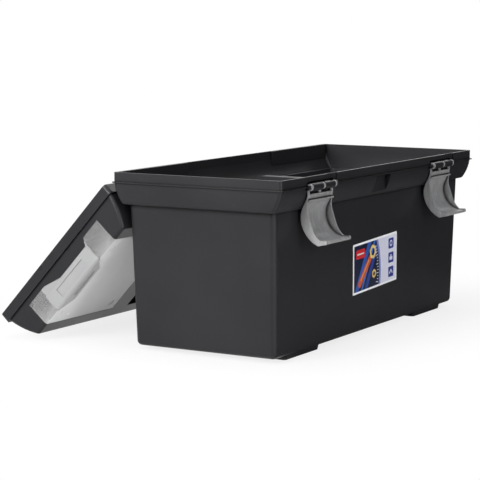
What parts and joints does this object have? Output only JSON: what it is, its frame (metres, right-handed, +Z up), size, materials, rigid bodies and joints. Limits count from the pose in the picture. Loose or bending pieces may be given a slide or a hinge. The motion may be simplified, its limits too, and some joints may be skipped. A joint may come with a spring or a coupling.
{
  "type": "toolbox with tray",
  "caption": "Long plastic toolbox standing open: hinged lid with clear-covered organiser wells and a folding handle, snap latches on the front and a lift-out tray inside.",
  "frame": {"origin": "centre of the base, on the plane of the four feet", "axes": "+X to the right end seen from the front, -Y the front with the latches, +Y the lid hinge, +Z up"},
  "size_m": [0.61, 0.4793, 0.2434],
  "materials": {
    "tub_plastic": "satin moulded, fine grain",
    "lid_plastic": "satin moulded, fine grain",
    "tray_plastic": "satin moulded",
    "latch_plastic": "satin grey",
    "cover_plastic": "frosted clear",
    "divider_plastic": "satin moulded",
    "grip_rubber": "matt soft",
    "pin_steel": "plain",
    "label_paper": "printed film"
  },
  "bodies": {
    "tub": {"tub_shell": "tub_plastic", "hinge_pin_left": "pin_steel", "hinge_pin_right": "pin_steel", "front_label": "label_paper"},
    "lid": {"lid_shell": "lid_plastic", "handle_pin_left": "pin_steel", "handle_pin_right": "pin_steel", "organiser_divider_left_inner": "divider_plastic", "organiser_divider_left_outer": "divider_plastic", "organiser_divider_right_inner": "divider_plastic", "organiser_divider_right_outer": "divider_plastic"},
    "cover_left": {"organiser_cover_left": "cover_plastic"},
    "cover_right": {"organiser_cover_right": "cover_plastic"},
    "handle": {"carry_handle": "lid_plastic", "handle_grip": "grip_rubber"},
    "latch_left": {"latch_left": "latch_plastic"},
    "latch_right": {"latch_right": "latch_plastic"},
    "tray": {"tray_body": "tray_plastic", "tray_handle": "tray_plastic", "tray_divider_1": "tray_plastic", "tray_divider_2": "tray_plastic", "tray_divider_3": "tray_plastic", "tray_divider_4": "tray_plastic"}
  },
  "joints": [
    {"name": "lid_hinge", "type": "hinge", "parent": "tub", "child": "lid", "pos_m": [0, 0.1385, 0.2309], "axis": [1, 0, 0], "range_deg": [0, 227.3]},
    {"name": "latch_left_pivot", "type": "hinge", "parent": "tub", "child": "latch_left", "pos_m": [-0.196, -0.1312, 0.2294], "axis": [-1, 0, 0], "range_deg": [0, 182]},
    {"name": "latch_right_pivot", "type": "hinge", "parent": "tub", "child": "latch_right", "pos_m": [0.188, -0.1312, 0.2294], "axis": [-1, 0, 0], "range_deg": [0, 182]},
    {"name": "cover_left_pivot", "type": "hinge", "parent": "lid", "child": "cover_left", "pos_m": [-0.14, 0.19024, 0.09019], "axis": [0, -0.6782, 0.7349], "range_deg": [0, 8]},
    {"name": "cover_right_pivot", "type": "hinge", "parent": "lid", "child": "cover_right", "pos_m": [0.14, 0.19024, 0.09019], "axis": [0, 0.6782, -0.7349], "range_deg": [0, 8]},
    {"name": "carry_handle_pivot", "type": "hinge", "parent": "lid", "child": "handle", "pos_m": [0, 0.19641, 0.09588], "axis": [-1, 0, 0], "range_deg": [0, 90]},
    {"name": "tray_lift", "type": "slide", "parent": "tub", "child": "tray", "axis": [0, 0, -1], "range_m": [-0.26, 0]}
  ]
}
